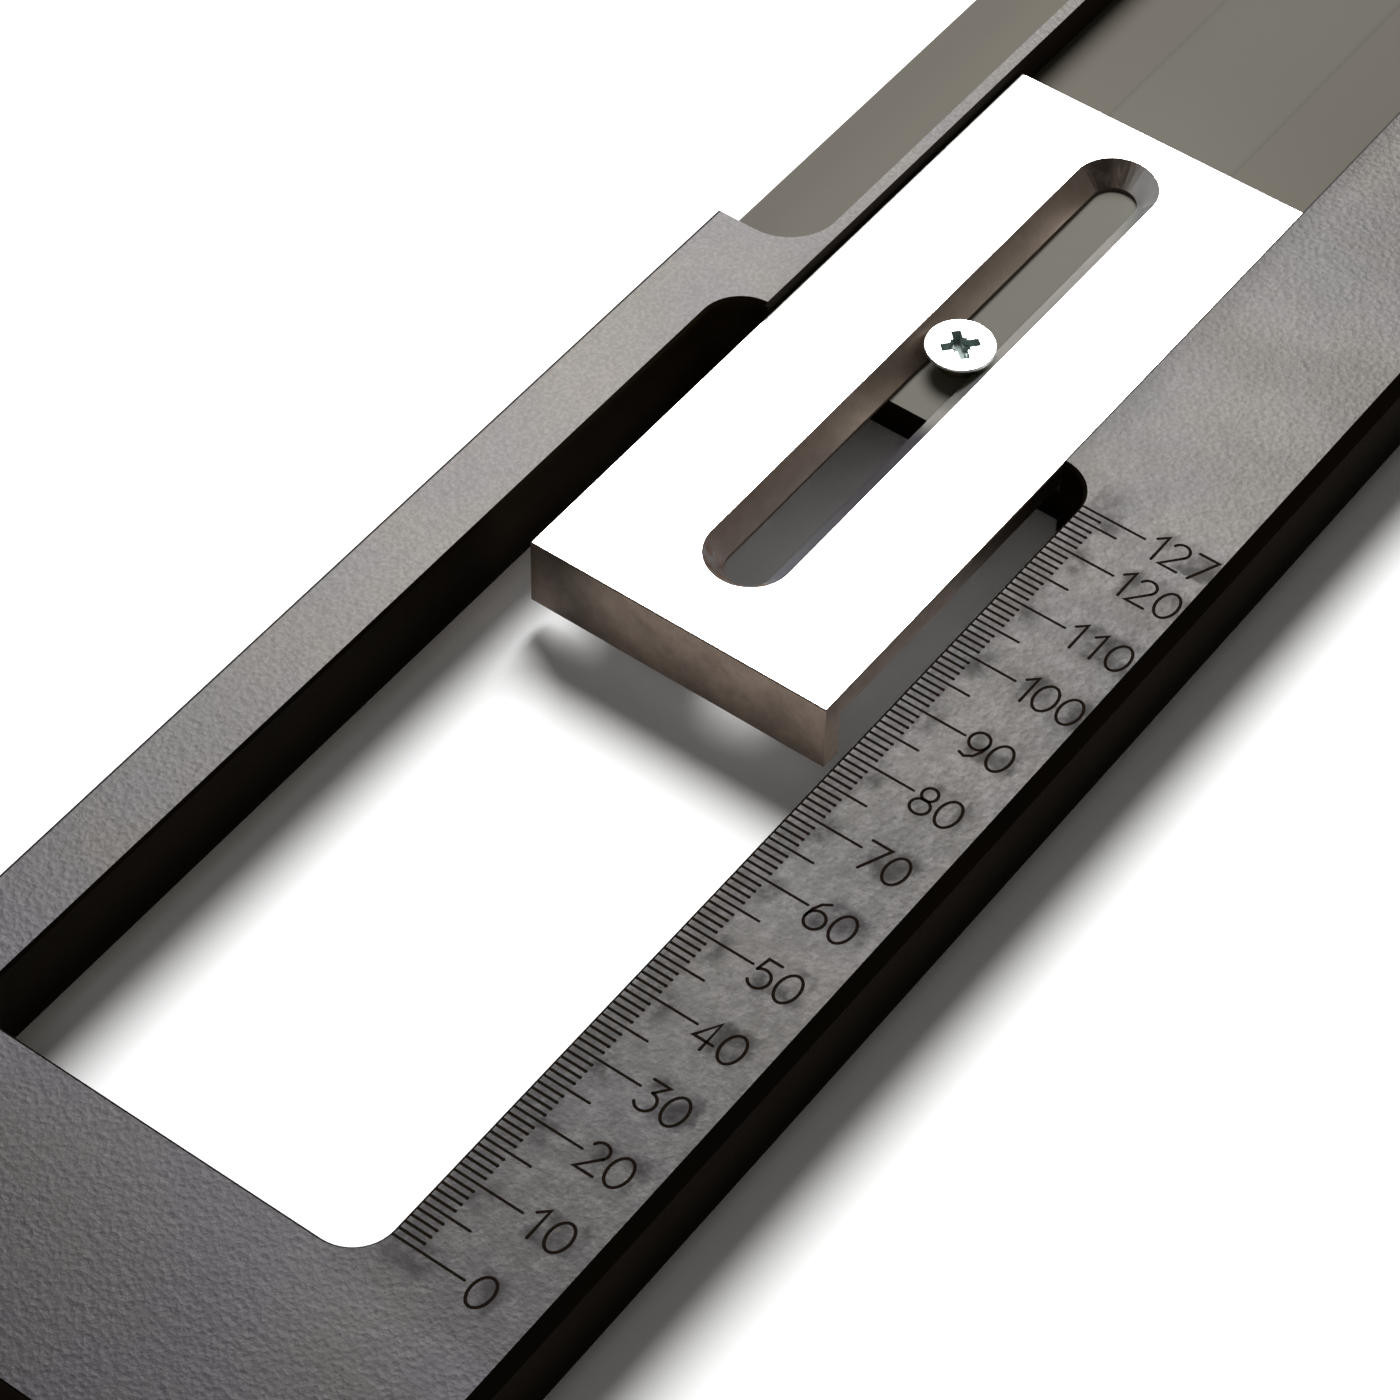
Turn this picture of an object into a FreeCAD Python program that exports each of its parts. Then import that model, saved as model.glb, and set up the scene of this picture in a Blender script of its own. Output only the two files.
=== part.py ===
"""Adjustable template frame: slotted steel frame, sliding gate and countersunk lock screw.

+Z is up, the origin is at the centre of the frame's underside, +X runs along the scale from 0 towards 127
and +Y across, from the rail with the scale to the plain rail. Sizes are in millimetres.
"""
import FreeCAD, Part
import math
import os
import re
import Sketcher

doc = FreeCAD.newDocument("template_frame")
sheet = doc.addObject("Spreadsheet::Sheet", "Dimensions")

# Driving dimensions. Each is one cell of the sheet, under its own alias.
DIMENSIONS = {
    # frame plate, its rails and the through window
    "frame_length": 280.0,
    "frame_width": 82.6,
    "frame_thickness": 12.0,
    "frame_break": 0.15,
    "outer_bevel": 1.5,
    "near_margin": 32.3,
    "scale_rail": 19.9,
    "window_length": 136.1,
    "window_width": 53.5,
    "window_corner": 5.3,
    "window_break": 0.4,
    "foot_bevel": 2.0,
    # groove that guides the gate, and the ledge outside the groove's thin wall
    "groove_inset": 5.4,
    "groove_width": 43.1,
    "groove_depth": 5.15,
    "thin_wall": 1.6,
    "ledge_start": 178.0,
    "ledge_corner": 7.1,
    # gate: a plate with a lip turned down at its front edge
    "gate_front": 121.85,
    "gate_length": 101.6,
    "gate_width": 42.1,
    "gate_offset": 0.2,
    "gate_plate": 3.15,
    "gate_gap": 0.05,
    "gate_break": 0.15,
    "lip_thickness": 2.8,
    "lip_clearance": 0.15,
    "lip_corner": 0.4,
    # countersunk slot along the gate
    "slot_start": 14.15,
    "slot_length": 76.85,
    "slot_radius": 2.95,
    "slot_bevel": 2.6,
    "slot_bevel_depth": 2.65,
    # lock screw in its tapped hole
    "screw_position": 178.7,
    "screw_bore": 2.55,
    "head_level": 9.95,
    "head_radius": 4.4,
    "head_rim": 0.3,
    "head_break": 0.12,
    "shank_radius": 2.5,
    "screw_length": 8.0,
    "screw_point": 0.6,
    "recess_span": 4.9,
    "recess_wing": 1.3,
    "recess_depth": 1.7,
    "recess_taper": 8.0,
    "star_span": 2.6,
    "star_depth": 1.1,
    "tick_span": 3.2,
    "tick_width": 0.3,
    "tick_depth": 0.3,
    "recess_angle": -41.4,
}

# Places worked out from the driving dimensions, from the frame's near end, scale side and underside.
WINDOW_FAR = "near_margin + window_length"
GROOVE_NEAR_SIDE = "scale_rail + groove_inset"
GROOVE_MIDDLE = "scale_rail + groove_inset + groove_width / 2"
THIN_WALL_OUTSIDE = "scale_rail + groove_inset + groove_width + thin_wall"
BED_LEVEL = "frame_thickness - groove_depth"
GATE_TOP = "frame_thickness - groove_depth + gate_gap + gate_plate"

# How closely an edge's bounds have to agree with the place where it is looked for.
MATCH = 0.01


def fill_sheet():
    """Write every driving dimension to the sheet, with its name beside it."""
    for row, (alias, size) in enumerate(DIMENSIONS.items(), start=1):
        sheet.set("A%d" % row, alias)
        sheet.set("B%d" % row, str(size))
        sheet.setAlias("B%d" % row, alias)
    doc.recompute()


def cells(expression):
    """Point the aliases in an expression at the sheet's cells."""
    return re.sub(r"[a-z_]+", lambda word: "Dimensions." + word.group(), expression)


def size_of(expression):
    """The expression's value now, which places sketch geometry close to where it will be solved."""
    return float(sheet.evalExpression(cells(expression)))


def new_body(label, x="0", y="0", z="0"):
    """A body with its own label, placed by expressions."""
    body = doc.addObject("PartDesign::Body", label)
    body.Label = label
    for axis, expression in zip("xyz", (x, y, z)):
        body.setExpression("Placement.Base." + axis, cells(expression))
    return body


def origin_item(body, role):
    """One of a body's own origin planes or axes."""
    return next(item for item in body.Origin.OriginFeatures if item.Role == role)


def new_sketch(body, name, plane="XY_Plane", level="0", turn="0"):
    """An empty sketch on one of the body's origin planes, lifted and turned by expressions."""
    sketch = body.newObject("Sketcher::SketchObject", name)
    sketch.AttachmentSupport = [(origin_item(body, plane), "")]
    sketch.MapMode = "FlatFace"
    sketch.setExpression("AttachmentOffset.Base.z", cells(level))
    sketch.setExpression("AttachmentOffset.Rotation.Angle", cells(turn))
    return sketch


def pin_point(sketch, geometry, vertex, x, y):
    """Hold one vertex of the sketch at two expressions, measured from the sketch's origin."""
    for kind, expression in (("DistanceX", x), ("DistanceY", y)):
        index = sketch.addConstraint(Sketcher.Constraint(kind, -1, 1, geometry, vertex, size_of(expression)))
        sketch.setExpression("Constraints[%d]" % index, cells(expression))


def polygon(sketch, corners):
    """Close straight lines through the corners, each corner a pair of expressions."""
    points = [FreeCAD.Vector(size_of(x), size_of(y), 0) for x, y in corners]
    for start, end in zip(points, points[1:] + points[:1]):
        sketch.addGeometry(Part.LineSegment(start, end), False)
    for index, (x, y) in enumerate(corners):
        before = index - 1 if index else len(corners) - 1
        sketch.addConstraint(Sketcher.Constraint("Coincident", before, 2, index, 1))
        pin_point(sketch, index, 1, x, y)
    return sketch


def rectangle(sketch, x_low, x_high, y_low, y_high):
    """A rectangle between four expressions."""
    return polygon(sketch, [(x_low, y_low), (x_high, y_low), (x_high, y_high), (x_low, y_high)])


def circle(sketch, x, y, radius):
    """A circle at two expressions."""
    centre = FreeCAD.Vector(size_of(x), size_of(y), 0)
    sketch.addGeometry(Part.Circle(centre, FreeCAD.Vector(0, 0, 1), size_of(radius)), False)
    pin_point(sketch, 0, 3, x, y)
    index = sketch.addConstraint(Sketcher.Constraint("Radius", 0, size_of(radius)))
    sketch.setExpression("Constraints[%d]" % index, cells(radius))
    return sketch


def round_slot(sketch, x_start, x_end, radius):
    """A slot along the sketch's X axis: two half circles joined by two tangent lines."""
    start, end, size = size_of(x_start), size_of(x_end), size_of(radius)
    up = FreeCAD.Vector(0, 0, 1)
    quarter = math.pi / 2
    left = Part.ArcOfCircle(Part.Circle(FreeCAD.Vector(start, 0, 0), up, size), quarter, 3 * quarter)
    right = Part.ArcOfCircle(Part.Circle(FreeCAD.Vector(end, 0, 0), up, size), -quarter, quarter)
    lower = Part.LineSegment(FreeCAD.Vector(start, -size, 0), FreeCAD.Vector(end, -size, 0))
    upper = Part.LineSegment(FreeCAD.Vector(end, size, 0), FreeCAD.Vector(start, size, 0))
    for line in (left, lower, right, upper):
        sketch.addGeometry(line, False)
    for first, first_end, second, second_end in ((0, 2, 1, 1), (1, 2, 2, 1), (2, 2, 3, 1), (3, 2, 0, 1)):
        sketch.addConstraint(Sketcher.Constraint("Tangent", first, first_end, second, second_end))
    for geometry, place in ((0, x_start), (2, x_end)):
        pin_point(sketch, geometry, 3, place, "0")
    index = sketch.addConstraint(Sketcher.Constraint("Radius", 0, size))
    sketch.setExpression("Constraints[%d]" % index, cells(radius))
    return sketch


def extrude(body, kind, name, sketch, depth=None, midplane=False, upward=False):
    """Pad or pocket a sketch. A pocket with no depth goes through everything."""
    feature = body.newObject("PartDesign::" + kind, name)
    feature.Profile = sketch
    feature.Midplane = midplane
    feature.Reversed = upward
    if depth is None:
        feature.Type = "ThroughAll"
    else:
        feature.setExpression("Length", cells(depth))
    doc.recompute()
    return feature


def dress(body, kind, name, size, chosen):
    """Fillet or chamfer the edges of the body's last feature that the chosen() test accepts."""
    base = body.Tip
    edges = enumerate(base.Shape.Edges, start=1)
    names = ["Edge%d" % number for number, edge in edges if chosen(edge.BoundBox)]
    feature = body.newObject("PartDesign::" + kind, name)
    feature.Base = (base, names)
    feature.setExpression("Size" if kind == "Chamfer" else "Radius", cells(size))
    doc.recompute()
    return feature


def near(value, expression):
    """True where a bound lies on the plane that the expression gives."""
    return abs(value - size_of(expression)) < MATCH


def flat_at(box, level):
    """True for an edge that lies flat at the level."""
    return near(box.ZMin, level) and near(box.ZMax, level)


def build_frame():
    """Plate with a window, a groove open at the far end, a ledge, bevelled edges and a tapped hole."""
    body = new_body("frame", "-frame_length / 2", "-frame_width / 2")
    outline = rectangle(new_sketch(body, "frame_outline"), "0", "frame_length", "0", "frame_width")
    extrude(body, "Pad", "frame_plate", outline, "frame_thickness")

    def scale_edge(box):
        """The plate's top edge along the scale."""
        return flat_at(box, "frame_thickness") and near(box.YMax, "0")

    def other_top_edges(box):
        """The plate's other three top edges, past the bevel."""
        return flat_at(box, "frame_thickness") and box.YMax > size_of("outer_bevel") + MATCH

    dress(body, "Chamfer", "scale_side_bevel", "outer_bevel", scale_edge)
    dress(body, "Chamfer", "top_edge_break", "frame_break", other_top_edges)

    window = rectangle(new_sketch(body, "window_outline"), "near_margin", WINDOW_FAR,
                       "scale_rail", "scale_rail + window_width")
    extrude(body, "Pocket", "window", window, upward=True)

    def inside_window(box):
        """The window's own edges."""
        return (box.XMin > size_of("near_margin") - MATCH and box.XMax < size_of(WINDOW_FAR) + MATCH
                and box.YMin > size_of("scale_rail") - MATCH)

    dress(body, "Fillet", "window_corners", "window_corner",
          lambda box: inside_window(box) and box.ZLength > 1)
    dress(body, "Chamfer", "window_edge_break", "window_break",
          lambda box: inside_window(box) and flat_at(box, "frame_thickness"))

    groove = rectangle(new_sketch(body, "groove_outline", level="frame_thickness"),
                       WINDOW_FAR, "frame_length", GROOVE_NEAR_SIDE, GROOVE_NEAR_SIDE + " + groove_width")
    extrude(body, "Pocket", "groove", groove, "groove_depth")

    bevel = polygon(new_sketch(body, "foot_bevel_profile", "XZ_Plane", "-(" + GROOVE_MIDDLE + ")"),
                    [(WINDOW_FAR, "0"), (WINDOW_FAR + " + foot_bevel", "0"), (WINDOW_FAR, "foot_bevel")])
    extrude(body, "Pocket", "window_foot_bevel", bevel, "groove_width", midplane=True)

    ledge = rectangle(new_sketch(body, "ledge_outline", level="frame_thickness"),
                      "ledge_start", "frame_length", THIN_WALL_OUTSIDE, "frame_width")
    extrude(body, "Pocket", "ledge", ledge, "groove_depth")
    dress(body, "Fillet", "ledge_end_corner", "ledge_corner",
          lambda box: (box.ZLength > 1 and near(box.XMax, "ledge_start")
                       and near(box.YMax, THIN_WALL_OUTSIDE)))

    bore = circle(new_sketch(body, "screw_bore_outline"), "screw_position", GROOVE_MIDDLE, "screw_bore")
    extrude(body, "Pocket", "tapped_hole", bore, upward=True)
    return body


def build_gate():
    """Plate with a lip turned down at its front edge and a countersunk slot along its middle."""
    body = new_body("gate", "gate_front - frame_length / 2",
                    GROOVE_MIDDLE + " + gate_offset - frame_width / 2")
    underside = GATE_TOP + " - gate_plate"
    profile = polygon(new_sketch(body, "gate_profile", "XZ_Plane"),
                      [("0", "lip_clearance"), ("lip_thickness", "lip_clearance"),
                       ("lip_thickness", underside), ("gate_length", underside),
                       ("gate_length", GATE_TOP), ("0", GATE_TOP)])
    extrude(body, "Pad", "gate_plate_and_lip", profile, "gate_width", midplane=True)
    dress(body, "Fillet", "lip_inner_corner", "lip_corner",
          lambda box: (box.YLength > 1 and near(box.XMax, "lip_thickness")
                       and near(box.ZMin, underside)))
    dress(body, "Chamfer", "gate_top_break", "gate_break", lambda box: flat_at(box, GATE_TOP))
    slot = round_slot(new_sketch(body, "slot_outline", level=GATE_TOP),
                      "slot_start", "slot_start + slot_length", "slot_radius")
    extrude(body, "Pocket", "slot", slot)

    def slot_rim(box):
        """The slot's edge in the gate's top."""
        return flat_at(box, GATE_TOP) and max(abs(box.YMin), abs(box.YMax)) < size_of("slot_radius") + MATCH

    countersink = dress(body, "Chamfer", "slot_countersink", "slot_bevel", slot_rim)
    countersink.ChamferType = "Two distances"
    countersink.setExpression("Size2", cells("slot_bevel_depth"))
    doc.recompute()
    return body


def build_lock_screw():
    """Countersunk screw with a cross recess, the recess's smaller star and its corner ticks."""
    body = new_body("lock_screw", "screw_position - frame_length / 2", GROOVE_MIDDLE + " - frame_width / 2",
                    "head_level")
    cone_foot = "-(head_rim + head_radius - shank_radius)"
    profile = polygon(new_sketch(body, "screw_profile", "XZ_Plane"),
                      [("0", "0"), ("head_radius - head_break", "0"), ("head_radius", "-head_break"),
                       ("head_radius", "-head_rim"), ("shank_radius", cone_foot),
                       ("shank_radius", "screw_point - screw_length"),
                       ("shank_radius - screw_point", "-screw_length"), ("0", "-screw_length")])
    turned = body.newObject("PartDesign::Revolution", "turned_screw")
    turned.Profile = profile
    turned.ReferenceAxis = (origin_item(body, "Z_Axis"), [""])
    turned.Angle = 360
    doc.recompute()

    def square_cut(name, length, width, depth, turn):
        """A rectangular cut into the head, centred on the screw's axis."""
        outline = rectangle(new_sketch(body, name + "_outline", turn=turn),
                            "-" + length + " / 2", length + " / 2", "-" + width + " / 2", width + " / 2")
        return extrude(body, "Pocket", name, outline, depth)

    def make_cross(name, cut):
        """Repeat a cut at a right angle to itself."""
        cross = body.newObject("PartDesign::PolarPattern", name)
        cross.Originals = [cut]
        cross.Axis = (origin_item(body, "Z_Axis"), [""])
        cross.Angle = 90
        cross.Occurrences = 2
        body.Tip = cross
        doc.recompute()

    wing = square_cut("recess_wings", "recess_span", "recess_wing", "recess_depth", "recess_angle")
    wing.setExpression("TaperAngle", cells("-recess_taper"))
    make_cross("recess_cross", wing)
    tick = square_cut("recess_tick", "tick_span", "tick_width", "tick_depth", "recess_angle + 45")
    make_cross("recess_ticks", tick)
    square_cut("recess_star", "star_span", "star_span", "star_depth", "recess_angle + 45")
    return body


def check(body):
    """Stop if any feature of the body failed or its solid isn't sound."""
    for item in [body] + body.Group:
        if "Invalid" in item.State or "Error" in item.State:
            raise RuntimeError("%s: %s failed" % (body.Label, item.Label))
    if body.Shape.isNull() or not body.Shape.isValid() or len(body.Shape.Solids) != 1:
        raise RuntimeError("%s isn't one sound solid" % body.Label)
    box = body.Shape.BoundBox
    print("%-12s %8.1f mm3  x %7.2f %7.2f  y %7.2f %7.2f  z %6.2f %6.2f" % (
        body.Label, body.Shape.Volume, box.XMin, box.XMax, box.YMin, box.YMax, box.ZMin, box.ZMax))


def main():
    """Build the three pieces, check them and write them to parts/."""
    fill_sheet()
    bodies = [build_frame(), build_gate(), build_lock_screw()]
    doc.recompute()
    os.makedirs("parts", exist_ok=True)
    for body in bodies:
        check(body)
    for body in bodies:
        body.Shape.exportStep("parts/%s.step" % body.Label)


main()
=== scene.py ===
"""Looks of the adjustable template frame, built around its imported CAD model.

Every length is in metres and every place is in the CAD's own frame.
"""

import math

import bmesh
import bpy
from mathutils import Matrix, Vector


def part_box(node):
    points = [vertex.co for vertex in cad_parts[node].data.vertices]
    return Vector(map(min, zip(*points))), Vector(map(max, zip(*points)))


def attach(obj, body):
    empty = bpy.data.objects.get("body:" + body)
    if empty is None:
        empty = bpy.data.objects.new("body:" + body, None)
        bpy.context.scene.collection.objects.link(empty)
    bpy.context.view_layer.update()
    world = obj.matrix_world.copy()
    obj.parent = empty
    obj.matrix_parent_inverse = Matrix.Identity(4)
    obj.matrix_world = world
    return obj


MM = 0.001

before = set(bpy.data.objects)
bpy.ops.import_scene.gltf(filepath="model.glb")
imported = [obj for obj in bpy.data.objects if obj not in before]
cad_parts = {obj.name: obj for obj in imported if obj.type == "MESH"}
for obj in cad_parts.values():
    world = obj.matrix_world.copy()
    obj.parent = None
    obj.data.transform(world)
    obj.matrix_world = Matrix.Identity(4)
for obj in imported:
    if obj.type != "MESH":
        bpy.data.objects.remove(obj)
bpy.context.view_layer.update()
FRAME_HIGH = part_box("frame")[1]
GATE_LOW, GATE_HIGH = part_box("gate")
SCREW_LOW, SCREW_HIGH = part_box("lock_screw")
TOP = FRAME_HIGH.z
OUTER_EDGE = FRAME_HIGH.y
SCREW_CENTRE = (SCREW_LOW + SCREW_HIGH) / 2

# Features of the frame that its box does not tell, as part.py has them.
WINDOW_SCALE_EDGE = -21.4 * MM
WINDOW_PLAIN_EDGE = 32.1 * MM
WINDOW_FAR_END = 28.4 * MM
GROOVE_WALL = 27.1 * MM
GROOVE_SCALE_EDGE = -16.0 * MM
SCALE_ZERO = -103.05 * MM

FLOOR_HEIGHT = -4.0 * MM

# A face is level where the upright part of its normal is above this, and in a plane when this near.
LEVEL = 0.9
NEAR = 0.1 * MM


# ---------------------------------------------------------------- node graphs

class Graph:
    """Short ways to add the nodes of one material.

    A value is a plain number or colour, or the output of another node.
    """

    def __init__(self, name):
        self.material = bpy.data.materials.new(name)
        self.material.use_nodes = True
        self.tree = self.material.node_tree
        self.tree.nodes.clear()
        self.shader = self.node("ShaderNodeBsdfPrincipled")
        output = self.node("ShaderNodeOutputMaterial")
        self.tree.links.new(self.shader.outputs[0], output.inputs["Surface"])
        self.place = self.node("ShaderNodeTexCoord").outputs["Object"]
        self.x, self.y, self.z = self.split(self.place)
        normal = self.node("ShaderNodeNewGeometry").outputs["True Normal"]
        self.normal_x, self.normal_y, self.normal_z = self.split(normal)

    def node(self, kind, **settings):
        made = self.tree.nodes.new(kind)
        for key, value in settings.items():
            setattr(made, key, value)
        return made

    def link(self, value, socket):
        """Connects an output, or sets a plain number or colour, on a socket."""
        if isinstance(value, bpy.types.NodeSocket):
            self.tree.links.new(value, socket)
        else:
            socket.default_value = value

    def split(self, vector):
        made = self.node("ShaderNodeSeparateXYZ")
        self.link(vector, made.inputs[0])
        return made.outputs["X"], made.outputs["Y"], made.outputs["Z"]

    def math(self, operation, *values):
        made = self.node("ShaderNodeMath", operation=operation)
        for value, socket in zip(values, made.inputs):
            self.link(value, socket)
        return made.outputs[0]

    def add(self, first, second):
        return self.math("ADD", first, second)

    def minus(self, first, second):
        return self.math("SUBTRACT", first, second)

    def larger(self, first, second):
        return self.math("MAXIMUM", first, second)

    def product(self, first, *others):
        """All the values multiplied: for masks, the places where all of them hold."""
        for other in others:
            first = self.math("MULTIPLY", first, other)
        return first

    def away(self, value, centre):
        """How far value is from centre."""
        return self.math("ABSOLUTE", self.minus(value, centre))

    def step(self, value, low, high):
        """0 below low and 1 above high, smooth between them, or the reverse where low is above high."""
        made = self.node("ShaderNodeMapRange", interpolation_type="SMOOTHSTEP")
        self.link(value, made.inputs["Value"])
        first, last = (0.0, 1.0) if low < high else (1.0, 0.0)
        made.inputs["From Min"].default_value = min(low, high)
        made.inputs["From Max"].default_value = max(low, high)
        made.inputs["To Min"].default_value = first
        made.inputs["To Max"].default_value = last
        return made.outputs["Result"]

    def span(self, value, low, high):
        """A number from low to high as value goes from 0 to 1."""
        made = self.node("ShaderNodeMapRange")
        self.link(value, made.inputs["Value"])
        self.link(low, made.inputs["To Min"])
        self.link(high, made.inputs["To Max"])
        return made.outputs["Result"]

    def mapped_place(self, stretch=(1, 1, 1), offset=(0, 0, 0)):
        made = self.node("ShaderNodeMapping")
        self.link(self.place, made.inputs["Vector"])
        made.inputs["Scale"].default_value = stretch
        made.inputs["Location"].default_value = offset
        return made.outputs[0]

    def noise(self, scale, detail=2.0, rough=0.5, stretch=(1, 1, 1), offset=(0, 0, 0), warp=0.0):
        """Noise from 0 to 1 with scale cells a metre, longer along an axis whose stretch is below 1."""
        made = self.node("ShaderNodeTexNoise")
        self.link(self.mapped_place(stretch, offset), made.inputs["Vector"])
        made.inputs["Scale"].default_value = scale
        made.inputs["Detail"].default_value = detail
        made.inputs["Roughness"].default_value = rough
        made.inputs["Distortion"].default_value = warp
        return made.outputs["Fac"]

    def cells(self, scale):
        """How far the nearest of many scattered points is, with scale of them a metre."""
        made = self.node("ShaderNodeTexVoronoi", feature="F1")
        self.link(self.mapped_place(), made.inputs["Vector"])
        made.inputs["Scale"].default_value = scale
        return made.outputs["Distance"]

    def mix(self, share, first, second):
        """A colour from first to second as share goes from 0 to 1."""
        made = self.node("ShaderNodeMix", data_type="RGBA")
        self.link(share, made.inputs[0])
        for value, socket in ((first, made.inputs[6]), (second, made.inputs[7])):
            is_output = isinstance(value, bpy.types.NodeSocket)
            self.link(value if is_output else (*value, 1.0), socket)
        return made.outputs[2]

    def times(self, colour, factor):
        """A colour made lighter or darker by a number."""
        made = self.node("ShaderNodeMix", data_type="RGBA", blend_type="MULTIPLY")
        made.inputs[0].default_value = 1.0
        self.link(colour, made.inputs[6])
        self.link(factor, made.inputs[7])
        return made.outputs[2]

    def bump(self, *layers):
        """Stacks bumps, given as (height, distance in metres, strength)."""
        normal = None
        for height, distance, strength in layers:
            made = self.node("ShaderNodeBump")
            self.link(height, made.inputs["Height"])
            self.link(strength, made.inputs["Strength"])
            made.inputs["Distance"].default_value = distance
            if normal is not None:
                self.link(normal, made.inputs["Normal"])
            normal = made.outputs[0]
        self.link(normal, self.shader.inputs["Normal"])

    def surface(self, colour, roughness, specular=None, metallic=None):
        """Sets the shader: specular and metallic are plain numbers, which the export needs unlinked."""
        self.link(colour, self.shader.inputs["Base Color"])
        self.link(roughness, self.shader.inputs["Roughness"])
        if specular is not None:
            self.shader.inputs["Specular IOR Level"].default_value = specular
        if metallic is not None:
            self.shader.inputs["Metallic"].default_value = metallic


def paint(node, finishes, choose):
    """Gives a CAD node its finishes, and each face the one that choose(normal, middle) names."""
    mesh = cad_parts[node].data
    mesh.materials.clear()
    names = list(finishes)
    for name in names:
        mesh.materials.append(finishes[name])
    for face in mesh.polygons:
        face.material_index = names.index(choose(face.normal, face.center))


# ---------------------------------------------------------------- frame looks

# Where the smoke's core round a label starts and ends, from the window's edge, and how much
# further it reaches for a second and a third digit.
LABEL_START = 11.3 * MM
ONE_DIGIT_END = 12.9 * MM
SECOND_DIGIT = 2.5 * MM
THIRD_DIGIT = 2.3 * MM
LABEL_HALF_HEIGHT = 1.4 * MM
# The labels stand at each ten, and the last one 3 mm before a ten, at 127.
LABEL_PITCH = 10 * MM
LAST_LABEL_SHIFT = 3 * MM


def label_smoke(g, along, across, from_label):
    """Ragged smoke round the digits."""
    two_digits = g.step(along, 4.9 * MM, 5.1 * MM)
    three_digits = g.step(along, 94.9 * MM, 95.1 * MM)
    label_end = g.add(ONE_DIGIT_END, g.product(two_digits, SECOND_DIGIT))
    label_end = g.add(label_end, g.product(three_digits, THIRD_DIGIT))
    past_ends = g.larger(g.minus(LABEL_START, across), g.minus(across, label_end))
    out_across = g.larger(past_ends, 0.0)
    out_along = g.larger(g.minus(g.math("ABSOLUTE", from_label), LABEL_HALF_HEIGHT), 0.0)
    squares = g.add(g.math("POWER", out_across, 2.0), g.math("POWER", out_along, 2.0))
    ragged = g.product(g.noise(330, 3.0, 0.65), 3.4 * MM)
    smoke = g.step(g.minus(g.math("SQRT", squares), ragged), 0.2 * MM, -1.7 * MM)
    patchy = g.step(g.noise(240, offset=(6, 3, 0)), 0.40, 0.62)
    return g.product(smoke, g.span(patchy, 0.15, 0.9))


def tick_smoke(g, across, from_label):
    """A patch of smoke beside each tenth tick, and a veil over the short ticks."""
    from_middle = g.away(across, 4.4 * MM)
    beside_ten = g.math("ABSOLUTE", g.add(from_label, 0.7 * MM))
    patch = g.product(
        g.step(from_middle, 2.4 * MM, 0.3 * MM),
        g.step(beside_ten, 3.2 * MM, 0.6 * MM),
        g.step(g.noise(420, offset=(3, 1, 0)), 0.30, 0.60),
    )
    veil = g.product(g.step(across, 4.6 * MM, 3.2 * MM), g.step(across, 0.2 * MM, 1.0 * MM))
    return patch, veil


def engraving_smoke(g):
    """How strongly the smoke of the engraving darkens a place beside the scale."""
    along = g.minus(g.x, SCALE_ZERO)
    across = g.minus(WINDOW_SCALE_EDGE, g.y)
    last_label = g.step(along, 124.9 * MM, 125.1 * MM)
    shifted = g.add(along, g.product(last_label, LAST_LABEL_SHIFT))
    from_label = g.math("WRAP", shifted, -LABEL_PITCH / 2, LABEL_PITCH / 2)
    on_scale = g.product(g.step(along, -4 * MM, -2 * MM), g.step(along, 132 * MM, 130 * MM))
    labels = g.product(label_smoke(g, along, across, from_label), on_scale)
    patch, veil = tick_smoke(g, across, from_label)
    ticks = g.larger(g.product(patch, on_scale, 0.75), g.product(veil, on_scale, 0.35))
    return g.larger(labels, ticks)


def top_tone(g):
    """How light each rail's blasted face is: random smudges, and painted highlight and shade along the
    rails, darkest towards the near end.
    """
    smudge = g.span(g.step(g.noise(95, stretch=(1, 0.5, 1)), 0.36, 0.64), 0.62, 1.15)
    # Painted highlight and shade along x: each rail is painted darker towards the near end and lighter
    # from the middle on.
    scale_rail = g.add(0.42, g.product(g.step(g.x, -68 * MM, -56 * MM), 0.55))
    scale_rail = g.add(g.product(scale_rail, smudge), g.step(g.x, 8 * MM, 34 * MM))
    plain_rail = g.add(1.3, g.product(g.step(g.x, -90 * MM, -25 * MM), 1.1))
    plain_rail = g.minus(plain_rail, g.product(g.step(g.x, 2 * MM, 20 * MM), 0.2))
    near_rail = g.span(g.step(g.x, -124 * MM, -111 * MM), 0.68, 0.92)
    on_plain_rail = g.step(g.y, WINDOW_PLAIN_EDGE - 12 * MM, WINDOW_PLAIN_EDGE)
    on_scale_rail = g.product(g.step(g.y, -15 * MM, -20 * MM), g.step(g.x, -112 * MM, -106 * MM))
    tone = g.span(on_plain_rail, near_rail, plain_rail)
    return g.span(on_scale_rail, tone, scale_rail)


def dark_edges(g):
    """Painted shade: thin dark lines along the plain rail's outer edge and along the groove's edge by
    the scale.
    """
    outer = g.step(g.y, OUTER_EDGE - 0.42 * MM, OUTER_EDGE - 0.22 * MM)
    from_groove = g.minus(GROOVE_SCALE_EDGE, g.y)
    groove = g.product(
        g.step(from_groove, 0.30 * MM, 0.10 * MM),
        g.step(from_groove, -0.5 * MM, 0.0),
        g.step(g.x, WINDOW_FAR_END, WINDOW_FAR_END + 1 * MM),
        0.6,
    )
    return g.larger(outer, groove)


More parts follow.
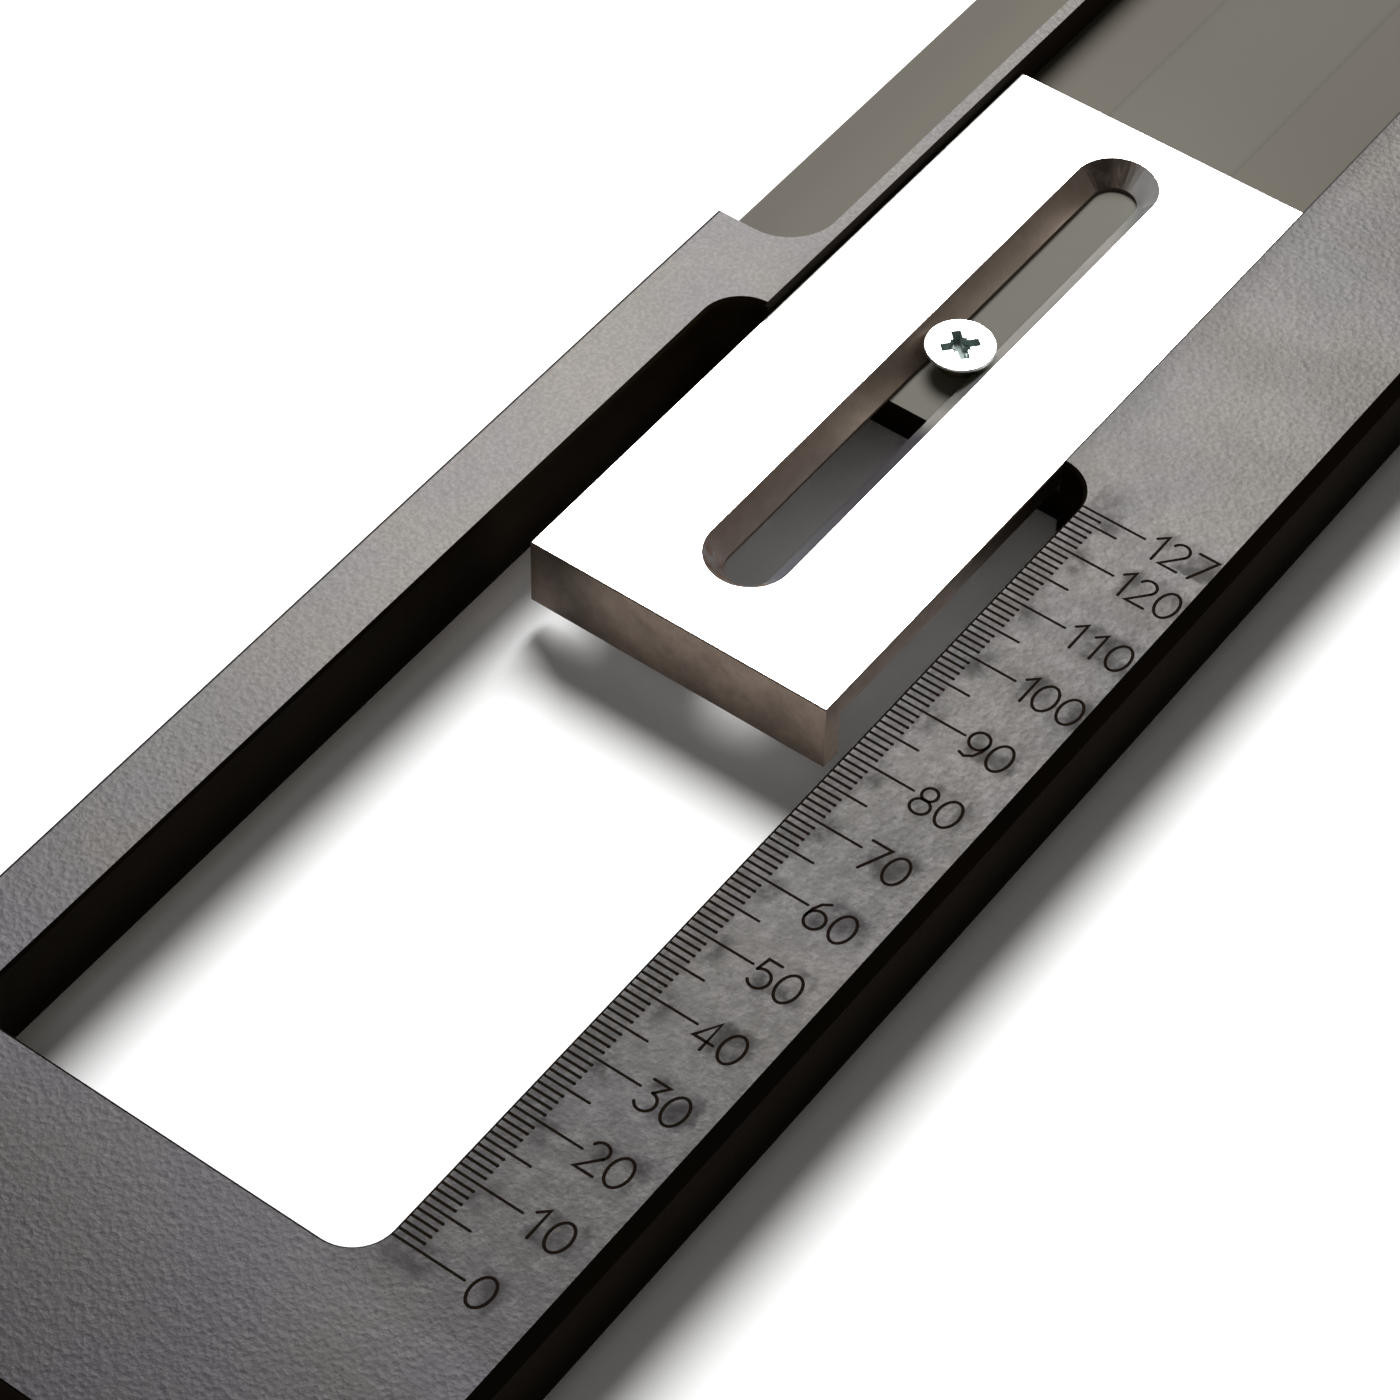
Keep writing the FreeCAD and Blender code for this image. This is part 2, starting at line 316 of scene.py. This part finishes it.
def blasted_finish():
    """The frame's bead-blasted top: satin grey with an orange-peel grain, smoked by the engraving, with
    painted highlight and shade along the rails, painted glints and painted dark edge lines.
    """
    g = Graph("frame_blasted_top")
    blotch = g.noise(38, 3.0, 0.55)
    mottle = g.noise(330, 3.0, 0.6, offset=(5, 2, 1))
    # Painted glints: light specks that stand in for highlights on the grain's peaks.
    painted_glints = g.step(g.noise(1900, 3.0, 0.6, offset=(2, 8, 5)), 0.40, 0.66)
    flecks = g.step(g.noise(620, 4.0, 0.7, offset=(4, 4, 9)), 0.42, 0.66)
    cloud = g.step(g.noise(60, 3.0, 0.6, offset=(9, 4, 0)), 0.35, 0.65)
    smoke = engraving_smoke(g)
    # Painted shade: thin dark lines at the plain rail's outer edge and the groove's edge.
    edges = dark_edges(g)

    shade = g.span(g.add(g.product(blotch, 0.5), g.product(mottle, 0.5)), 0.6, 1.4)
    # Painted highlight and shade along the rails, and the engraving's smoke.
    shade = g.product(shade, top_tone(g), g.span(smoke, 1.0, 0.30))
    shade = g.product(shade, g.span(painted_glints, 0.86, 1.25), g.span(edges, 1.0, 0.1))
    warmth = g.product(g.add(cloud, g.step(g.x, -115 * MM, -60 * MM)), 0.5)
    colour = g.times(g.mix(warmth, (0.036, 0.034, 0.041), (0.044, 0.040, 0.034)), shade)

    # The scale's rail is worn smoother than the rest, and flecked as far as the scale goes.
    on_rail = g.product(g.step(g.y, -15 * MM, -20 * MM), g.step(g.x, -110 * MM, -104 * MM))
    on_scale = g.product(on_rail, g.step(g.x, 38 * MM, 24 * MM))
    satin = g.add(g.span(mottle, 0.28, 0.41), g.product(smoke, 0.22))
    satin = g.add(satin, g.product(on_scale, g.span(flecks, 0.03, -0.06)))
    satin = g.add(satin, g.product(edges, 0.6))

    worn = g.product(on_rail, g.step(g.x, -20 * MM, -60 * MM))
    relief = g.span(g.step(g.x, -98 * MM, -106 * MM), 0.54, 0.40)
    relief = g.span(worn, relief, 0.30)
    peel = g.noise(820, 3.0, 0.62)
    leather = g.cells(1300)
    grain = g.noise(2600, offset=(1, 7, 3))
    g.bump((peel, 0.10 * MM, relief), (leather, 0.06 * MM, relief), (grain, 0.03 * MM, 0.5))
    g.surface(colour, satin, specular=0.11)
    g.shader.inputs["Specular Tint"].default_value = (1.0, 0.955, 0.945, 1.0)
    return g.material


# The cutter's middle pass along the groove's floor, between two fine lines.
PASS_MIDDLE = 6.2 * MM
PASS_HALF_WIDTH = 9.2 * MM


def milled_finish():
    """The machined bed, ledge and underside."""
    g = Graph("frame_milled")
    tone = g.noise(30, stretch=(0.15, 1, 1))
    mill = g.noise(260, stretch=(1, 0.05, 0.05))
    middle_pass = g.product(g.step(g.y, -3.4 * MM, -2.6 * MM), g.step(g.y, 15.8 * MM, 15.0 * MM))
    from_line = g.away(g.away(g.y, PASS_MIDDLE), PASS_HALF_WIDTH)
    far_bed = g.product(g.step(g.x, 80 * MM, 105 * MM), g.step(g.y, 28 * MM, 26 * MM))
    ledge = g.step(g.y, 33 * MM, 39 * MM)
    colour = g.mix(tone, (0.064, 0.0555, 0.041), (0.071, 0.0615, 0.046))
    colour = g.mix(g.product(middle_pass, 0.9), colour, (0.066, 0.062, 0.048))
    colour = g.times(colour, g.span(g.step(from_line, 0.45 * MM, 0.10 * MM), 1.0, 0.86))
    colour = g.times(colour, g.span(far_bed, 1.0, 0.86))
    colour = g.times(colour, g.span(ledge, 1.0, 0.84))
    g.bump((mill, 0.02 * MM, 0.3))
    g.surface(colour, g.span(tone, 0.56, 0.64), specular=0.15)
    return g.material


def oxide_finish():
    """The frame's dark milled walls, with painted shade darkest at the foot and on the bevels, and a
    painted reflection of the gate that makes them lighter beside it.
    """
    g = Graph("frame_oxide_wall")
    tone = g.noise(80, 3.0, 0.5)
    grain = g.noise(1500, 3.0, 0.5)
    # Painted shade: the walls are painted darker towards the foot and on the bevels.
    foot_shade = g.step(g.z, 0.0, 9 * MM)
    bevel_shade = g.step(g.normal_z, 0.3, 0.6)
    # Painted reflection of the gate: the walls are painted lighter beside its front.
    by_gate = g.product(
        g.step(g.x, -24 * MM, -14 * MM),
        g.step(g.y, 25 * MM, 32 * MM),
        g.step(g.y, 38 * MM, 34 * MM),
    )
    colour = g.mix(tone, (0.0045, 0.0030, 0.0015), (0.0080, 0.0055, 0.0032))
    colour = g.times(colour, g.span(foot_shade, 0.35, 1.1))
    colour = g.times(colour, g.span(bevel_shade, 1.0, 0.45))
    colour = g.times(colour, g.span(by_gate, 1.0, 2.6))
    g.bump((grain, 0.03 * MM, 0.4))
    g.surface(colour, g.span(grain, 0.45, 0.60), specular=0.005)
    return g.material


def groove_wall_finish():
    """The groove's wall beside the gate, browner than the others."""
    g = Graph("frame_groove_wall")
    tone = g.noise(220, 3.0, 0.6)
    grain = g.noise(1500, 3.0, 0.5)
    colour = g.mix(tone, (0.018, 0.013, 0.009), (0.034, 0.025, 0.017))
    g.bump((grain, 0.03 * MM, 0.4))
    g.surface(colour, g.span(grain, 0.50, 0.65), specular=0.05)
    return g.material


def finish_frame():
    finishes = {
        "top": blasted_finish(),
        "bed": milled_finish(),
        "wall": oxide_finish(),
        "groove": groove_wall_finish(),
    }

    def choose(normal, middle):
        if abs(normal.z) < LEVEL:
            by_gate = abs(middle.y - GROOVE_WALL) < NEAR and middle.x > WINDOW_FAR_END
            return "groove" if by_gate else "wall"
        return "top" if normal.z > 0 and middle.z > TOP - NEAR else "bed"

    paint("frame", finishes, choose)


# ----------------------------------------------------------------- gate looks

def ground_finish():
    """The bright ground faces of the gate, with a few specks that thicken towards the front edge."""
    g = Graph("gate_ground")
    stain = g.noise(120, 4.0, 0.6)
    lines = g.noise(1400, 3.0, 0.6, stretch=(0.03, 1, 1))
    near_front = g.step(g.x, GATE_LOW.x + 7 * MM, GATE_LOW.x)
    specks = g.add(g.noise(700, 4.0, 0.7, offset=(7, 7, 0)), g.product(near_front, 0.08))
    colour = g.mix(stain, (0.64, 0.62, 0.60), (0.70, 0.69, 0.68))
    colour = g.times(colour, g.span(lines, 0.88, 1.12))
    colour = g.mix(g.step(specks, 0.66, 0.86), colour, (0.22, 0.20, 0.18))
    g.bump((lines, 0.02 * MM, 0.35))
    g.surface(colour, g.span(stain, 0.28, 0.34), metallic=1.0)
    return g.material


def slot_finish():
    """The slot's short straight wall, painted nearly black as painted shade."""
    g = Graph("gate_slot_wall")
    tone = g.noise(300, 3.0, 0.6)
    # Painted shade: the wall is kept darker than the rest of the gate's steel.
    colour = g.mix(tone, (0.060, 0.045, 0.035), (0.120, 0.090, 0.070))
    g.surface(colour, g.span(tone, 0.5, 0.65), specular=0.05)
    return g.material


def sawn_finish():
    """The gate's edges, brown and mottled, with painted light: the side facing the scale painted
    lighter, painted shade at the front's plain end, and its corner painted lighter again.
    """
    g = Graph("gate_edges")
    mottle = g.noise(900, 4.0, 0.7)
    cloud = g.noise(160, 3.0, 0.6, offset=(4, 4, 4))
    on_front = g.step(g.x, GATE_LOW.x + 1 * MM, GATE_LOW.x)
    # Painted shade at the front's plain end, painted lighter again at its corner, and the side that
    # faces the scale painted lighter.
    plain_end_shade = g.product(g.step(g.y, 13 * MM, 21 * MM), on_front)
    plain_corner_light = g.product(g.step(g.y, 22.5 * MM, 26 * MM), on_front)
    scale_side_light = g.step(g.normal_y, -0.5, -0.9)
    colour = g.mix(mottle, (0.140, 0.106, 0.080), (0.278, 0.217, 0.178))
    colour = g.times(colour, g.span(g.step(cloud, 0.3, 0.7), 0.84, 1.12))
    colour = g.times(colour, g.span(plain_end_shade, 1.0, 0.52))
    colour = g.times(colour, g.span(plain_corner_light, 1.0, 1.9))
    colour = g.times(colour, g.span(scale_side_light, 1.0, 1.9))
    g.bump((mottle, 0.06 * MM, 0.5))
    g.surface(colour, g.span(mottle, 0.36, 0.48), metallic=1.0)
    return g.material


def countersink_finish():
    """The slot's countersink: brown where it faces the scale, and a painted reflection on the side
    opposite.

    That side is painted dark and bluish over the window and bright over the bed, as at the rest place;
    the far end has painted shade and a painted glint.
    """
    g = Graph("gate_countersink")
    mottle = g.noise(700, 4.0, 0.7)
    streaks = g.noise(420, 3.0, 0.7, stretch=(1, 1, 0.1), warp=0.4)
    streak = g.step(streaks, 0.38, 0.62)
    toward_plain = g.step(g.normal_y, -0.25, 0.35)
    past_window = g.step(g.x, GATE_LOW.x + 41 * MM, GATE_LOW.x + 46 * MM)
    brown = g.mix(mottle, (0.37, 0.29, 0.23), (0.55, 0.44, 0.37))
    # Painted reflection: the brown side is painted darker past the window.
    brown = g.times(brown, g.span(past_window, 0.95, 0.72))
    # Painted reflection on the side that faces the plain rail: dark and bluish over the window, bright
    # over the bed.
    window_reflection = g.mix(streaks, (0.150, 0.160, 0.205), (0.230, 0.240, 0.290))
    bed_reflection = g.mix(streaks, (0.570, 0.590, 0.590), (0.710, 0.730, 0.720))
    colour = g.mix(toward_plain, brown, g.mix(past_window, window_reflection, bed_reflection))

    near_end = g.step(g.normal_x, 0.10, 0.35)
    rust = g.mix(streak, (0.36, 0.20, 0.12), (0.52, 0.49, 0.48))
    colour = g.mix(g.product(near_end, 0.85), colour, rust)

    # Painted shade on the far end's side that faces the scale, and a painted glint on its side that
    # faces the plain rail.
    far_end = g.step(g.normal_x, -0.05, -0.25)
    far_shade = g.product(far_end, g.step(g.normal_y, 0.0, -0.25), g.span(streak, 1.0, 0.6))
    far_glint = g.product(far_end, toward_plain)
    colour = g.times(colour, g.span(far_shade, 1.0, 0.30))
    colour = g.times(colour, g.span(far_glint, 1.0, 1.9))
    g.bump((mottle, 0.04 * MM, 0.4), (streaks, 0.03 * MM, 0.4))
    g.surface(colour, g.span(mottle, 0.30, 0.42), metallic=1.0)
    return g.material


# What holds the slot's walls and none of the gate's outer ones.
SLOT_REACH = 6 * MM
SLOT_FROM_FRONT = 5 * MM
SLOT_FROM_REAR = 2 * MM
COUNTERSINK_LEAN = 0.3


def finish_gate():
    finishes = {
        "face": ground_finish(),
        "edge": sawn_finish(),
        "countersink": countersink_finish(),
        "slot": slot_finish(),
    }

    def choose(normal, middle):
        if abs(normal.z) > LEVEL:
            return "face"
        beside_slot = abs(middle.y - SCREW_CENTRE.y) <= SLOT_REACH
        between_ends = GATE_LOW.x + SLOT_FROM_FRONT <= middle.x <= GATE_HIGH.x - SLOT_FROM_REAR
        if not (beside_slot and between_ends):
            return "edge"
        return "countersink" if normal.z > COUNTERSINK_LEAN else "slot"

    paint("gate", finishes, choose)


# ---------------------------------------------------------------- other looks

def zinc_finish():
    """The screw's bright zinc, painted duller and yellower down its cone: painted shade under the head
    and a painted brown reflection.
    """
    g = Graph("screw_zinc")
    grain = g.noise(1500, 3.0, 0.6)
    # Painted shade and a painted brown reflection: the cone is painted duller and yellower.
    down_cone = g.step(g.z, SCREW_HIGH.z - 0.08 * MM, SCREW_HIGH.z - 0.9 * MM)
    bright = g.mix(grain, (0.70, 0.71, 0.72), (0.80, 0.81, 0.80))
    dull = g.mix(grain, (0.46, 0.42, 0.30), (0.62, 0.58, 0.43))
    g.bump((grain, 0.02 * MM, 0.4))
    g.surface(g.mix(down_cone, bright, dull), g.span(grain, 0.24, 0.36), metallic=1.0)
    return g.material


def recess_finish():
    """The walls of the screw's cross recess: the zinc painted dull greenish grey as painted shade in the
    recess.
    """
    g = Graph("screw_recess_shade")
    grain = g.noise(1300, 3.0, 0.6, stretch=(1, 1, 0.2))
    colour = g.mix(grain, (0.150, 0.200, 0.185), (0.320, 0.390, 0.365))
    g.bump((grain, 0.03 * MM, 0.5))
    g.surface(colour, g.span(grain, 0.40, 0.55), specular=0.2)
    return g.material


# What holds the recess's walls and not the head's face.
RECESS_REACH = 2.45 * MM
RECESS_DEPTH = 2 * MM
HEAD_FACE = 0.01 * MM


def finish_screw():
    def choose(normal, middle):
        reach = math.hypot(middle.x - SCREW_CENTRE.x, middle.y - SCREW_CENTRE.y)
        in_depth = SCREW_HIGH.z - RECESS_DEPTH < middle.z < SCREW_HIGH.z - HEAD_FACE
        return "recess" if reach < RECESS_REACH and in_depth else "zinc"

    paint("lock_screw", {"zinc": zinc_finish(), "recess": recess_finish()}, choose)


def burn_finish():
    """The burnt black of the engraving."""
    g = Graph("engraving_burn")
    burn = g.noise(2500, 3.0, 0.6)
    colour = g.mix(burn, (0.003, 0.002, 0.001), (0.012, 0.008, 0.006))
    g.bump((burn, 0.04 * MM, 0.5))
    g.surface(colour, g.span(burn, 0.7, 0.9), specular=0.0)
    return g.material


def floor_finish():
    """A plain matt white."""
    g = Graph("floor_white")
    tone = g.noise(3)
    g.surface(g.mix(tone, (0.90, 0.90, 0.90), (0.92, 0.92, 0.92)), 0.9, specular=0.0)
    return g.material


# ---------------------------------------------------------------------- scale

# Single-line digits in a box one wide and one high, as ("line", points) and
# ("arc", centre, radii, first angle, last angle) in degrees, counter-clockwise.
DIGITS = {
    "0": [("arc", (0.5, 0.5), (0.5, 0.5), 0, 360)],
    "1": [("line", [(0.29, 0.76), (0.70, 1.0), (0.70, 0.0)])],
    "2": [
        ("arc", (0.5, 0.74), (0.42, 0.26), 160, -38),
        ("line", [(0.83, 0.58), (0.05, 0.0), (0.98, 0.0)]),
    ],
    "3": [
        ("line", [(0.10, 1.0), (0.92, 1.0), (0.45, 0.62)]),
        ("arc", (0.46, 0.31), (0.46, 0.31), 90, -150),
    ],
    "4": [("line", [(0.66, 0.0), (0.66, 1.0), (0.0, 0.30), (0.98, 0.30)])],
    "5": [
        ("line", [(0.88, 1.0), (0.22, 1.0), (0.10, 0.56)]),
        ("arc", (0.46, 0.33), (0.48, 0.33), 135, -145),
    ],
    "6": [
        ("arc", (0.5, 0.32), (0.46, 0.32), 0, 360),
        ("line", [(0.04, 0.32), (0.10, 0.60), (0.30, 0.86), (0.62, 1.0)]),
    ],
    "7": [("line", [(0.0, 1.0), (1.0, 1.0), (0.30, 0.0)])],
    "8": [
        ("arc", (0.5, 0.76), (0.36, 0.24), 0, 360),
        ("arc", (0.5, 0.27), (0.46, 0.27), 0, 360),
    ],
    "9": [
        ("arc", (0.5, 0.68), (0.46, 0.32), 0, 360),
        ("line", [(0.96, 0.68), (0.90, 0.40), (0.70, 0.14), (0.38, 0.0), (0.10, 0.06)]),
    ],
}
DIGIT_HEIGHT = 4.1 * MM
DIGIT_WIDTH = 2.6 * MM
DIGIT_STROKE = 0.38 * MM
# Where each digit starts, from the window's edge, in a label of one, two or three digits.
DIGIT_STARTS = {
    1: (10.6 * MM,),
    2: (9.65 * MM, 12.85 * MM),
    3: (9.3 * MM, 12.0 * MM, 15.25 * MM),
}
# How far a label's middle lies before its tick, which is more for the middle labels.
LABEL_LAG = 0.12 * MM
MIDDLE_LABEL_LAG = 0.5 * MM
MIDDLE_LABELS = range(30, 91, 10)

TICKS = 127
SHORT_TICK_WIDTH = 0.36 * MM
TICK_WIDTH = 0.33 * MM
TICK_DOT = 0.23 * MM
TICK_START = 0.42 * MM
# How far a tick reaches from the window's edge: at the scale's two ends, and in millimetres for
# every tenth, fifth and single tick at 0, with how much less it is at 127.
END_TICK_REACH = {0: 9.8 * MM, TICKS: 9.05 * MM}
TICK_REACH = {10: (9.45, 0.2), 5: (6.6, 0.3), 1: (3.8, 0.35)}

# A mark is a closed slab that starts inside the frame and stands just proud of it.
MARK_DEPTH = 0.02 * MM
MARK_RISE = 0.012 * MM
DOT_EXTRA_RISE = 0.002 * MM

ARC_STEP = 9
ARC_LEAST = 6
END_SIDES = 6
DOT_SIDES = 12
SAME_PLACE = 1e-9
# A corner's mitre may reach twice the stroke's half width.
MITRE_LIMIT = 0.5


def stroke_points(stroke):
    """The points of one line or arc of a digit, in the digit's box."""
    if stroke[0] == "line":
        return stroke[1]
    _, (x, y), (rx, ry), first, last = stroke
    count = max(ARC_LEAST, round(abs(last - first) / ARC_STEP))
    angles = [math.radians(first + (last - first) * i / count) for i in range(count + 1)]
    return [(x + rx * math.cos(a), y + ry * math.sin(a)) for a in angles]


def stroke_sides(flat, closed, width):
    """The left and the right side of a stroke of this width along flat, with mitred corners."""
    left, right = [], []
    for index, here in enumerate(flat):
        before = flat[index - 1] if index or closed else None
        after = flat[(index + 1) % len(flat)] if index + 1 < len(flat) or closed else None
        into = (here - before).normalized() if before is not None else (after - here).normalized()
        out = (after - here).normalized() if after is not None else into
        bend = (into + out).normalized()
        side = Vector((-bend.y, bend.x))
        reach = width / 2 / max(MITRE_LIMIT, side.dot(Vector((-into.y, into.x))))
        left.append(here + side * reach)
        right.append(here - side * reach)
    return left, right


def round_end(before, here, width):
    """The points round the end of a stroke that comes from before and stops here."""
    toward = here - before
    start = math.atan2(toward.y, toward.x) - math.pi / 2
    angles = [start + math.pi * k / END_SIDES for k in range(1, END_SIDES)]
    return [here + Vector((math.cos(a), math.sin(a))) * width / 2 for a in angles]


def add_ring(mesh, left, right):
    """Adds the slab of a stroke that closes on itself."""
    low, high = TOP - MARK_DEPTH, TOP + MARK_RISE
    sections = []
    for a, b in zip(left, right):
        corners = ((a, low), (a, high), (b, high), (b, low))
        sections.append([mesh.verts.new((place.x, place.y, z)) for place, z in corners])
    for i, section in enumerate(sections):
        following = sections[(i + 1) % len(sections)]
        for k in range(4):
            m = (k + 1) % 4
            mesh.faces.new((section[k], following[k], following[m], section[m]))


def add_slab(mesh, outline, high):
    """Adds a slab with this outline, given as (x, y) places, up to high."""
    bottom = [mesh.verts.new((x, y, TOP - MARK_DEPTH)) for x, y in outline]
    top = [mesh.verts.new((x, y, high)) for x, y in outline]
    mesh.faces.new(top)
    mesh.faces.new(list(reversed(bottom)))
    for i in range(len(outline)):
        j = (i + 1) % len(outline)
        mesh.faces.new((bottom[i], bottom[j], top[j], top[i]))


def add_stroke(mesh, points, width):
    """Adds a stroke along points, with round ends where it doesn't close on itself."""
    flat = [Vector((x, y)) for x, y in points]
    closed = (flat[0] - flat[-1]).length < SAME_PLACE
    if closed:
        flat = flat[:-1]
    left, right = stroke_sides(flat, closed, width)
    if closed:
        add_ring(mesh, left, right)
        return
    last_end = round_end(flat[-2], flat[-1], width)
    first_end = round_end(flat[1], flat[0], width)
    outline = right + last_end + list(reversed(left)) + first_end
    add_slab(mesh, outline, TOP + MARK_RISE)


def add_dot(mesh, x, y, radius):
    """Adds the round end that a short tick has, a hair higher than its stroke."""
    turns = [math.tau * k / DOT_SIDES for k in range(DOT_SIDES)]
    outline = [(x + radius * math.cos(a), y + radius * math.sin(a)) for a in turns]
    add_slab(mesh, outline, TOP + MARK_RISE + DOT_EXTRA_RISE)


def new_piece(name, mesh, material):
    bmesh.ops.recalc_face_normals(mesh, faces=mesh.faces)
    data = bpy.data.meshes.new(name)
    mesh.to_mesh(data)
    mesh.free()
    data.materials.append(material)
    piece = bpy.data.objects.new(name, data)
    bpy.context.scene.collection.objects.link(piece)
    return piece


def tick_length(value):
    """How far a tick reaches from the window's edge."""
    if value in END_TICK_REACH:
        return END_TICK_REACH[value]
    every = next(number for number in TICK_REACH if value % number == 0)
    reach, less = TICK_REACH[every]
    return (reach - less * value / TICKS) * MM


def make_ticks(material):
    mesh = bmesh.new()
    for value in range(TICKS + 1):
        x = SCALE_ZERO + value * MM
        start = WINDOW_SCALE_EDGE - TICK_START
        end = WINDOW_SCALE_EDGE - tick_length(value) + TICK_WIDTH / 2
        short = value % 5 != 0 and value != TICKS
        add_stroke(mesh, [(x, start), (x, end)], SHORT_TICK_WIDTH if short else TICK_WIDTH)
        if short:
            add_dot(mesh, x, end, TICK_DOT)
    piece = new_piece("scale_ticks", mesh, material)
    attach(piece, "frame_body")


def make_labels(material):
    mesh = bmesh.new()
    for value in [*range(0, TICKS, 10), TICKS]:
        text = str(value)
        lag = MIDDLE_LABEL_LAG if value in MIDDLE_LABELS else LABEL_LAG
        middle = SCALE_ZERO + value * MM - lag
        for digit, start in zip(text, DIGIT_STARTS[len(text)]):
            for stroke in DIGITS[digit]:
                points = []
                for across, up in stroke_points(stroke):
                    x = middle + (up - 0.5) * DIGIT_HEIGHT
                    y = WINDOW_SCALE_EDGE - start - across * DIGIT_WIDTH
                    points.append((x, y))
                add_stroke(mesh, points, DIGIT_STROKE)
    piece = new_piece("scale_numbers", mesh, material)
    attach(piece, "frame_body")


# --------------------------------------------------------------------- studio

FLOOR_REACH = 6.0
FLOOR_SEGMENTS = 8


def make_floor(material):
    mesh = bmesh.new()
    bmesh.ops.create_grid(
        mesh, x_segments=FLOOR_SEGMENTS, y_segments=FLOOR_SEGMENTS, size=FLOOR_REACH
    )
    floor = new_piece("floor", mesh, material)
    floor.location.z = FLOOR_HEIGHT


def make_softbox(name, place, along_x, along_y, radiance):
    """An oval lamp at place, aimed at the object's middle, its two widths nearest to X and Y."""
    away = Vector(place)
    lamp = bpy.data.lights.new(name, "AREA")
    lamp.shape = "ELLIPSE"
    lamp.size, lamp.size_y = along_x, along_y
    lamp.energy = radiance * math.pi * math.pi / 4 * along_x * along_y
    holder = bpy.data.objects.new(name, lamp)
    aim = away.normalized()
    side = Vector((0, 1, 0)).cross(aim).normalized()
    turn = Matrix((side, aim.cross(side), aim)).transposed().to_4x4()
    holder.matrix_world = Matrix.Translation(away) @ turn
    bpy.context.scene.collection.objects.link(holder)


def make_world(colour, strength):
    world = bpy.data.worlds.new("studio")
    world.use_nodes = True
    background = world.node_tree.nodes["Background"]
    background.inputs["Color"].default_value = (*colour, 1.0)
    background.inputs["Strength"].default_value = strength
    bpy.context.scene.world = world


def make_camera():
    """The camera that the photograph's scale and edges fit, 50 degrees above the table."""
    place = Vector((-0.30143, -0.19996, 0.40799))
    right = Vector((0.59625, -0.80263, 0.01635))
    down = Vector((-0.60484, -0.46252, -0.64826))
    forward = Vector((0.52788, 0.37664, -0.76124))
    camera = bpy.data.cameras.new("camera")
    camera.sensor_width = 36.0
    camera.lens = 119.66
    camera.clip_start, camera.clip_end = 0.01, 50.0
    holder = bpy.data.objects.new("camera", camera)
    turn = Matrix((right, -down, -forward)).transposed().to_4x4()
    holder.matrix_world = Matrix.Translation(place) @ turn
    bpy.context.scene.collection.objects.link(holder)
    bpy.context.scene.camera = holder


make_camera()
finish_frame()
finish_gate()
finish_screw()
burn_material = burn_finish()
make_ticks(burn_material)
make_labels(burn_material)
make_floor(floor_finish())
make_softbox("key", (0.482, 0.348, 0.700), along_x=0.56, along_y=0.53, radiance=25.6)
make_softbox("fill", (-0.580, -0.211, 0.788), along_x=0.56, along_y=0.56, radiance=0.45)
make_world(colour=(1.0, 0.945, 0.89), strength=0.115)
bpy.context.scene.view_settings.view_transform = "Standard"
